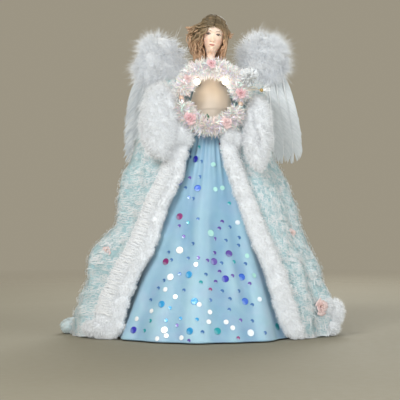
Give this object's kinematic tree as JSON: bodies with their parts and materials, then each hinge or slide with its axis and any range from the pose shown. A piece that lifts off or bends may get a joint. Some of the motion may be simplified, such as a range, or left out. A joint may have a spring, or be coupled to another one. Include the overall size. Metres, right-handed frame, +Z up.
{
  "type": "angel tree topper",
  "caption": "Dressed angel on a hollow cone for a tree's top shoot, with hinged feather wings, lit lamps and a wreath in its hands.",
  "frame": {"origin": "centre of the cone's open foot, in the plane that the hoop rests on", "axes": "+Z up along the cone and the bust, the angel faces -Y and its own left is +X"},
  "size_m": [0.3513, 0.2516, 0.3995],
  "materials": {
    "moulding": "ivory moulded plastic",
    "satin": "champagne satin over a moulded bust",
    "wood": "plain birch dowel",
    "skin": "painted resin, soft satin",
    "hair": "moulded locks, painted olive brown to auburn",
    "tinsel": "iridescent white tinsel",
    "ribbon": "pale pink ribbon",
    "ruffle": "white sheer ribbon",
    "leaf": "dark green",
    "berry": "gold bead on a thread-wrapped stem",
    "glass": "clear bulb, warm white glow",
    "socket": "white moulded",
    "lead": "white insulated wire",
    "wire": "drawn steel",
    "sleeve": "pale blue satin",
    "plush": "white long-pile plush",
    "skirt": "light blue satin with round foil sequins",
    "lace": "pale blue lace with white cord loops",
    "down": "white marabou down",
    "feather": "white goose feathers"
  },
  "bodies": {
    "figure": {"base_hoop": "moulding", "base_cone": "moulding", "cone_cap": "moulding", "neck_dowel": "wood", "torso": "satin", "head": "skin", "hair": "hair", "collar_garland": "tinsel", "right_lamp_socket": "socket", "left_lamp_socket": "socket", "right_lamp_lead": "lead", "left_lamp_lead": "lead", "lead_splice": "socket", "supply_lead": "lead", "lead_clip": "moulding", "skirt": "skirt", "waist_band": "skirt", "coat_back": "lace", "right_coat_front": "lace", "left_coat_front": "lace", "right_coat_trim": "plush", "left_coat_trim": "plush", "coat_hem_trim": "plush", "coat_rose_1": "ribbon", "coat_rose_2": "ribbon", "coat_rose_3": "ribbon", "wing_bracket": "moulding", "right_wing_pin": "wire", "left_wing_pin": "wire"},
    "arms": {"arm_wire": "wire", "wreath_hoop": "wire", "garland_upper": "tinsel", "garland_lower": "tinsel", "right_hand": "skin", "left_hand": "skin", "right_sleeve": "sleeve", "left_sleeve": "sleeve", "right_cuff": "plush", "left_cuff": "plush", "wreath_rose_1": "ribbon", "wreath_rose_2": "ribbon", "wreath_rose_3": "ribbon", "wreath_rose_4": "ribbon", "wreath_ruffle": "ruffle", "wreath_leaf": "leaf", "berry_pick": "berry"},
    "right_wing": {"right_wing_stem": "wire", "right_wing_down": "down", "right_feather_1": "feather", "right_feather_2": "feather", "right_feather_3": "feather"},
    "left_wing": {"left_wing_stem": "wire", "left_wing_down": "down", "left_feather_1": "feather", "left_feather_2": "feather", "left_feather_3": "feather"},
    "right_lamp": {"right_lamp": "glass"},
    "left_lamp": {"left_lamp": "glass"}
  },
  "joints": [
    {"name": "arms_lift", "type": "hinge", "parent": "figure", "child": "arms", "pos_m": [0, 0.0065, 0.31], "axis": [-1, 0, 0], "range_deg": [0, 20]},
    {"name": "right_wing_fold", "type": "hinge", "parent": "figure", "child": "right_wing", "pos_m": [-0.011, 0.0383, 0.333], "axis": [0, 0, -1], "range_deg": [0, 50]},
    {"name": "left_wing_fold", "type": "hinge", "parent": "figure", "child": "left_wing", "pos_m": [0.011, 0.0383, 0.333], "axis": [0, 0, 1], "range_deg": [0, 50]},
    {"name": "right_lamp_pull", "type": "slide", "parent": "figure", "child": "right_lamp", "axis": [0, -1, 0], "range_m": [0, 0.009]},
    {"name": "left_lamp_pull", "type": "slide", "parent": "figure", "child": "left_lamp", "axis": [0, -1, 0], "range_m": [0, 0.009]}
  ]
}
